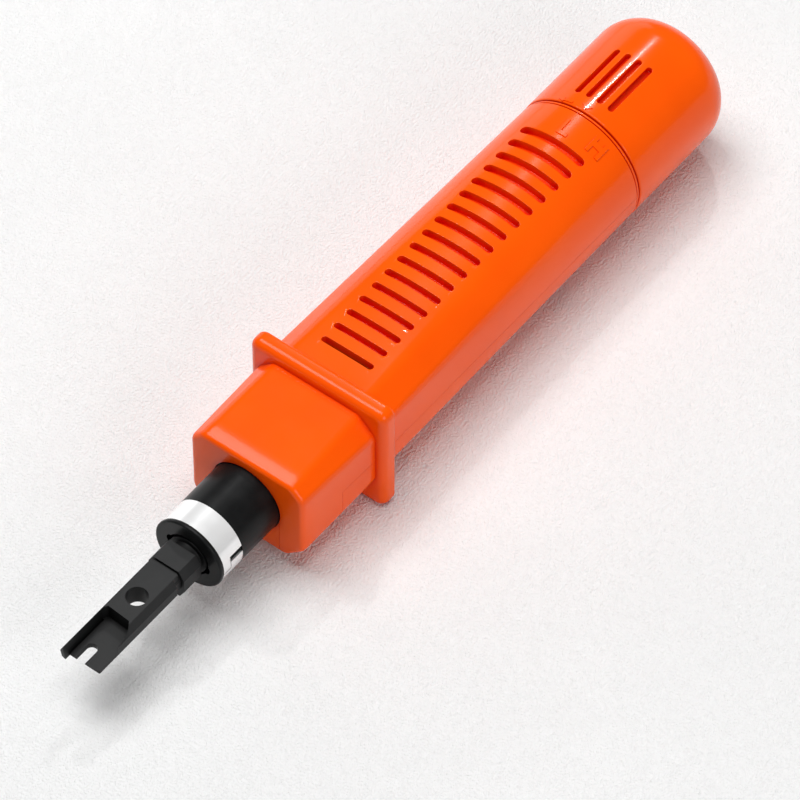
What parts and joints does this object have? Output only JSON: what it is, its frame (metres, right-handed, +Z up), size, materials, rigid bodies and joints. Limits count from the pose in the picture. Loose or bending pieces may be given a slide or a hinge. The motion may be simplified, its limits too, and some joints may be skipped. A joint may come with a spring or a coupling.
{
  "type": "punch down tool",
  "caption": "Impact punch-down tool for wire termination blocks: ribbed handle, hand guard, sprung chuck, slotted cutting blade and a turning force dial.",
  "frame": {"origin": "under the middle of the tool, at the lowest line of the round rear end, with the tool lying on its side", "axes": "+X along the tool axis towards the blade, +Z up through the grip slots, +Y across the handle to its left seen from behind the cap"},
  "size_m": [0.1719, 0.0298, 0.0272],
  "materials": {
    "handle_plastic": "glossy moulded orange plastic",
    "black_steel": "black oxide, satin",
    "blade_steel": "blackened tool steel, matt",
    "band_chrome": "polished chrome plate",
    "machined_steel": "turned steel, oiled",
    "spring_steel": "drawn spring wire",
    "zinc_steel": "bright zinc plate",
    "bearing_brass": "machined bearing brass",
    "tube_aluminium": "drawn tube, mill finish",
    "inner_plastic": "dark acetal, matt"
  },
  "bodies": {
    "housing": {"upper_shell": "handle_plastic", "lower_shell": "handle_plastic", "hand_guard": "handle_plastic", "seam_ring": "handle_plastic", "housing_screws": "zinc_steel", "front_bushing": "bearing_brass", "guide_tube": "tube_aluminium", "stop_washer": "zinc_steel", "trip_ramp": "inner_plastic", "detent_leaf": "spring_steel", "main_spring": "spring_steel", "return_spring": "spring_steel"},
    "chuck": {"collar": "black_steel", "collar_pin": "zinc_steel", "retaining_band": "band_chrome", "retention_ball": "zinc_steel", "rim_plate": "black_steel", "anvil_rod": "machined_steel"},
    "blade": {"blade": "blade_steel"},
    "hammer": {"hammer": "machined_steel", "latch_spring": "spring_steel"},
    "latch": {"latch_plate": "machined_steel"},
    "dial": {"adjuster_cap": "handle_plastic", "cam_sleeve": "inner_plastic"},
    "seat": {"spring_seat": "machined_steel", "cam_pin": "zinc_steel"}
  },
  "joints": [
    {"name": "press", "type": "slide", "parent": "housing", "child": "chuck", "axis": [-1, 0, 0], "range_m": [0, 0.008], "stiffness_N_per_m": 600, "springref_m": -0.01, "deforming": ["return_spring"]},
    {"name": "blade_twist", "type": "hinge", "parent": "chuck", "child": "blade", "pos_m": [0.05, 0, 0.0135], "axis": [1, 0, 0], "range_deg": [0, 90]},
    {"name": "hammer_slide", "type": "slide", "parent": "housing", "child": "hammer", "axis": [-1, 0, 0], "range_m": [0, 0.008], "deforming": ["main_spring"]},
    {"name": "latch_trip", "type": "slide", "parent": "hammer", "child": "latch", "axis": [0, -1, 0], "range_m": [0, 0.0016], "deforming": ["latch_spring"]},
    {"name": "dial_turn", "type": "hinge", "parent": "housing", "child": "dial", "pos_m": [-0.07, 0, 0.0135], "axis": [-1, 0, 0], "range_deg": [0, 28]},
    {"name": "preload", "type": "slide", "parent": "housing", "child": "seat", "axis": [1, 0, 0], "range_m": [0, 0.003], "deforming": ["main_spring"]}
  ],
  "couplings": [
    {"joint": "hammer_slide", "follows": "press", "ratio": 1},
    {"joint": "latch_trip", "follows": "press", "ratio": 0.2},
    {"joint": "preload", "follows": "dial_turn", "m_per_rad": 0.0061388}
  ]
}
